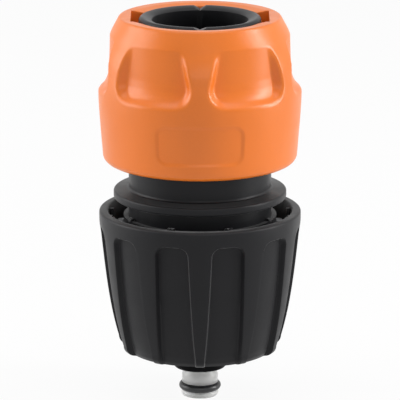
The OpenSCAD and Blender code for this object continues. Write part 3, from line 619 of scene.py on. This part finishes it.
class CONNECTOR_OT_valve(Operator):
    """Water stop valve: guide, hollow stem, rubber rings and the holder of its spring"""

    bl_idname = "connector.valve"
    bl_label = "Valve"

    def execute(self, context):
        rounding = context.scene.connector_sizes.edge_round
        refined("valve_guide", "guide_moulding", "body", "glossy_black", finish_of("guide_gloss"))
        refined("guide_oring", "guide_seal", "body", "rubber", finish_of("ring_rubber"))
        refined("spring_holder", "holder_moulding", "body", "light_plastic", finish_of("natural_plastic"), rounding)
        refined("valve_stem", "valve_moulding", "valve", "light_plastic", finish_of("natural_plastic"))
        refined("valve_seal", "seat_rubber", "valve", "rubber", finish_of("ring_rubber"))
        refined("nose_oring", "nose_ring", "valve", "rubber", finish_of("ring_rubber"))
        return {"FINISHED"}


class CONNECTOR_OT_claws(Operator):
    """Four claws that latch on the tap adapter"""

    bl_idname = "connector.claws"
    bl_label = "Claws"

    def execute(self, context):
        rounding = context.scene.connector_sizes.edge_round
        for claw in CLAWS:
            refined(claw, claw.replace("claw", "latch"), claw, "grey_plastic", finish_of("claw_moulding"), rounding)
        return {"FINISHED"}


class CONNECTOR_OT_sleeve(Operator):
    """Release sleeve: fluted shell with its guide ring, cams and guide ribs"""

    bl_idname = "connector.sleeve"
    bl_label = "Release Sleeve"

    def execute(self, context):
        sizes = context.scene.connector_sizes
        top, wide = high_mm("sleeve"), high_mm("sleeve", 0)
        rim_bore, wall, edge, rounding = 18.3, 2.2, 1.9, 0.45
        guide_low, guide_top, guide_bore = 5.5, 9.0, 12.9
        band, flute_top = top - 2.6, top - 3.2
        flute_low_w, flute_high_w = 7.4, 6.4
        depth, lip = sizes.flute_depth / MM, sizes.flute_lip / MM
        pitch = TURN / 11

        def shell_radius(z):
            share = (band - z) / band
            return wide - 0.05 - 2.6 * share - 1.57 * max(share, 0) ** 3.66

        def rows(high, low, step):
            count = math.ceil((high - low) / step)
            heights = [high + (low - high) * i / count for i in range(count)]
            return [(shell_radius(z), z) for z in heights]

        foot_r = shell_radius(edge) - edge
        floor_low_r = foot_r + edge - depth
        foot = [(floor_low_r - 1.1, -0.2), (floor_low_r - 0.45, 0.7), (floor_low_r, edge)]
        outline = (
            [(rim_bore, top - 0.2), (rim_bore + 0.2, top)]
            + dense([(rim_bore + 0.2, top), (wide - rounding, top)], 0.4)[1:-1]
            + arc(wide - rounding, top - rounding, rounding, 90, 0, 6)
            + [(wide, top - 0.9), (wide, top - 1.6), (wide - 0.02, top - 2.2)]
            + rows(band, flute_top - 2.4, 0.12)
            + rows(flute_top - 2.4, edge, 0.45)
            + arc(foot_r, edge, edge, 0, -84, 12)
            + [(foot_r - 0.1, 0), (foot_r - 0.6, 0), (foot_r - 0.7, 0.2)]
            + dense([(foot_r - 0.7, 0.2), (foot_r - 0.7, guide_low)], 0.6)[1:]
            + dense([(guide_bore, guide_low), (guide_bore, guide_top)], 0.5)
            + [(shell_radius(z) - wall, z) for z in (guide_top, 12, 15, 18, 21.4)]
            + [(rim_bore - 0.3, top - 4)])

        def move(r, angle, z):
            centre = math.floor((angle + math.pi / 2) / pitch) * pitch + pitch / 2 - math.pi / 2
            near = away_from(angle, centre)
            shell = shell_radius(min(max(z, edge), band))
            share = max(0, min(1, z / flute_top))
            half = math.asin((flute_low_w + (flute_high_w - flute_low_w) * share) / 2 / shell)
            soft = lip / 2 / shell
            part = abs(near) / (pitch / 2)
            if part < 0.5:
                turn = part / 0.5 * (half - soft)
            elif part < 0.8:
                turn = half - soft + (part - 0.5) / 0.3 * 2 * soft
            else:
                turn = half + soft + (part - 0.8) / 0.2 * (pitch / 2 - half - soft)
            angle = centre + math.copysign(turn, near)
            if r > shell - 0.9 * wall - 0.9 * max(0, edge - z) and z < flute_top + 1:
                floor = shell - depth if z > edge else radius_at(foot, z)
                gap = outline_distance(shell * math.sin(turn), z, flute_low_w, flute_high_w, 0, flute_top, 0, 1.9)
                if z < flute_top / 2:
                    gap = shell * (turn - half)
                r -= max(0, r - floor) * soft_step(0.5 - gap / lip)
            heel = min(abs(away_from(angle, i * math.pi / 2)) for i in range(4))
            if r < 14.5 and 1.2 < z < 8.4 and heel < math.radians(14):
                r = max(r, 12.85 + 1.47 * (8.4 - z) / 7.2)
            return r, angle, z

        bm = bmesh.new()
        spun(bm, outline, sizes.sleeve_segments, move)
        for i in range(4):
            turn = i * math.pi / 2
            add_plate(bm, [(17, 26.2), (16.05, 21.4), (16.9, 17.4), (17.9, 17.4), (18.7, 26.4), (17.45, 26.4)],
                      4.8, turn)
            for side in (-1, 1):
                add_plate(bm, [(17.5, 25), (17.5, 27.9), (18.4, 27.9), (18.4, 22.8), (18, 22.8)],
                          0.9, turn + side * math.radians(9.5))
        dress(linked("sleeve_moulding", bm, 46), "sleeve", "black_plastic", finish_of("black_moulding"), "sleeve")
        return {"FINISHED"}


class CONNECTOR_OT_springs(Operator):
    """The sleeve's spring and the valve's spring, as joined copies with meshes of their own"""

    bl_idname = "connector.springs"
    bl_label = "Springs"

    def execute(self, context):
        for name, spring, joint in (("sleeve_coil", "sleeve_spring", "sleeve_slide"),
                                    ("valve_coil", "valve_spring", "valve_slide")):
            obj = refined(spring, name, "body", "steel", finish_of("spring_steel"))
            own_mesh(obj)
        return {"FINISHED"}


# ---- Stage -----------------------------------------------------------------------


def soft_box(name, place, target, width, height, power):
    """A rectangular light that faces a point."""
    light = bpy.data.lights.new(name, "AREA")
    light.shape = "RECTANGLE"
    light.size = width
    light.size_y = height
    light.energy = power
    obj = bpy.data.objects.new(name, light)
    bpy.context.scene.collection.objects.link(obj)
    obj.location = place
    obj.rotation_mode = "QUATERNION"
    obj.rotation_quaternion = (Vector(target) - Vector(place)).to_track_quat("-Z", "Y")
    return obj


def seen_rays(tree):
    """Above 0 for what the camera, a reflection or a clear material sees."""
    path = node(tree, "ShaderNodeLightPath")
    first = node(tree, "ShaderNodeMath", operation="MAXIMUM")
    tree.links.new(path.outputs["Is Camera Ray"], first.inputs[0])
    tree.links.new(path.outputs["Is Glossy Ray"], first.inputs[1])
    both = node(tree, "ShaderNodeMath", operation="MAXIMUM")
    tree.links.new(first.outputs[0], both.inputs[0])
    tree.links.new(path.outputs["Is Transmission Ray"], both.inputs[1])
    return both.outputs[0]


class CONNECTOR_OT_stage(Operator):
    """Pale floor, soft light, white background and the camera"""

    bl_idname = "connector.stage"
    bl_label = "Stage"

    def execute(self, context):
        scene = context.scene
        studio = scene.connector_studio
        scene.view_settings.view_transform = "Standard"

        world = bpy.data.worlds.new("studio")
        scene.world = world
        world.use_nodes = True
        tree = world.node_tree
        tree.nodes.clear()
        light = node(tree, "ShaderNodeBackground")
        light.inputs["Strength"].default_value = studio.ambient
        white = node(tree, "ShaderNodeBackground")
        white.inputs["Strength"].default_value = 1.0
        for background in (light, white):
            background.inputs["Color"].default_value = (1, 1, 1, 1)
        mix = node(tree, "ShaderNodeMixShader")
        tree.links.new(seen_rays(tree), mix.inputs["Fac"])
        tree.links.new(light.outputs[0], mix.inputs[1])
        tree.links.new(white.outputs[0], mix.inputs[2])
        output = node(tree, "ShaderNodeOutputWorld")
        tree.links.new(mix.outputs[0], output.inputs["Surface"])

        bm = bmesh.new()
        bmesh.ops.create_grid(bm, x_segments=8, y_segments=8, size=1.6)
        bmesh.ops.translate(bm, verts=bm.verts[:], vec=(0, 0, cad_box[0].z - 0.05 * MM))
        floor = linked("floor", bm)
        material, tree, shader, place = new_material("pale_floor")
        tone = ranged(tree, noise(tree, place, 4.0, 2.0), 0.3, 0.7, 0.0, 1.0)
        tree.links.new(mixed(tree, tone, (0.86, 0.86, 0.86), (0.88, 0.88, 0.88)), shader.inputs["Base Color"])
        shader.inputs["Roughness"].default_value = 0.9
        shader.inputs["Specular IOR Level"].default_value = 0.1
        glow = node(tree, "ShaderNodeEmission")
        glow.inputs["Strength"].default_value = 1.0
        blend = node(tree, "ShaderNodeMixShader")
        share = node(tree, "ShaderNodeMath", operation="MULTIPLY")
        share.inputs[1].default_value = 0.92
        tree.links.new(seen_rays(tree), share.inputs[0])
        tree.links.new(share.outputs[0], blend.inputs["Fac"])
        tree.links.new(shader.outputs["BSDF"], blend.inputs[1])
        tree.links.new(glow.outputs[0], blend.inputs[2])
        tree.links.new(blend.outputs[0], tree.nodes["Material Output"].inputs["Surface"])
        floor.data.materials.append(material)

        middle = (0, 0, 0.03)
        soft_box("left_box", (-0.62, 0.05, 0.16), middle, 0.5, 0.7, studio.side_power)
        soft_box("right_box", (0.62, -0.03, 0.2), middle, 0.16, 0.7, studio.side_power)
        soft_box("top_box", (0.0, -0.1, 0.75), middle, 0.7, 0.5, studio.top_power)
        soft_box("front_box", (0.1, -0.9, 0.35), middle, 0.6, 0.4, studio.front_power)

        camera = bpy.data.cameras.new("camera")
        camera.sensor_width = 36.0
        camera.lens = studio.lens
        camera.clip_start, camera.clip_end = 0.01, 20.0
        obj = bpy.data.objects.new("camera", camera)
        scene.collection.objects.link(obj)
        back = Vector((0, -math.cos(studio.elevation), math.sin(studio.elevation)))
        obj.location = Vector((0, 0, studio.target_height)) + back * studio.distance
        obj.rotation_mode = "QUATERNION"
        obj.rotation_quaternion = (-back).to_track_quat("-Z", "Y")
        scene.camera = obj
        return {"FINISHED"}


OPERATORS = (
    CONNECTOR_OT_hose_nut, CONNECTOR_OT_grip_ring, CONNECTOR_OT_stem, CONNECTOR_OT_socket,
    CONNECTOR_OT_valve, CONNECTOR_OT_claws, CONNECTOR_OT_sleeve, CONNECTOR_OT_springs,
    CONNECTOR_OT_stage)


class CONNECTOR_PT_panel(Panel):
    """Lists the sizes, the colours and the pieces"""

    bl_idname = "CONNECTOR_PT_panel"
    bl_label = "Hose Connector"
    bl_space_type = "VIEW_3D"
    bl_region_type = "UI"
    bl_category = "Connector"

    def draw(self, context):
        layout = self.layout
        scene = context.scene
        for group in (scene.connector_sizes, scene.connector_colours, scene.connector_studio):
            box = layout.box()
            for prop in group.bl_rna.properties:
                if prop.identifier not in ("rna_type", "name"):
                    box.prop(group, prop.identifier)
        for op in OPERATORS:
            layout.operator(op.bl_idname)


CLASSES = (ConnectorSizes, ConnectorColours, StudioSettings, *OPERATORS, CONNECTOR_PT_panel)


def register():
    """Registers the classes and the scene's settings."""
    for cls in CLASSES:
        bpy.utils.register_class(cls)
    bpy.types.Scene.connector_sizes = PointerProperty(type=ConnectorSizes)
    bpy.types.Scene.connector_colours = PointerProperty(type=ConnectorColours)
    bpy.types.Scene.connector_studio = PointerProperty(type=StudioSettings)


def unregister():
    """Removes the scene's settings and the classes."""
    del bpy.types.Scene.connector_studio
    del bpy.types.Scene.connector_colours
    del bpy.types.Scene.connector_sizes
    for cls in reversed(CLASSES):
        bpy.utils.unregister_class(cls)


def main():
    register()
    for op in OPERATORS:
        group, name = op.bl_idname.split(".")
        getattr(getattr(bpy.ops, group), name)()


if __name__ == "__main__":
    main()
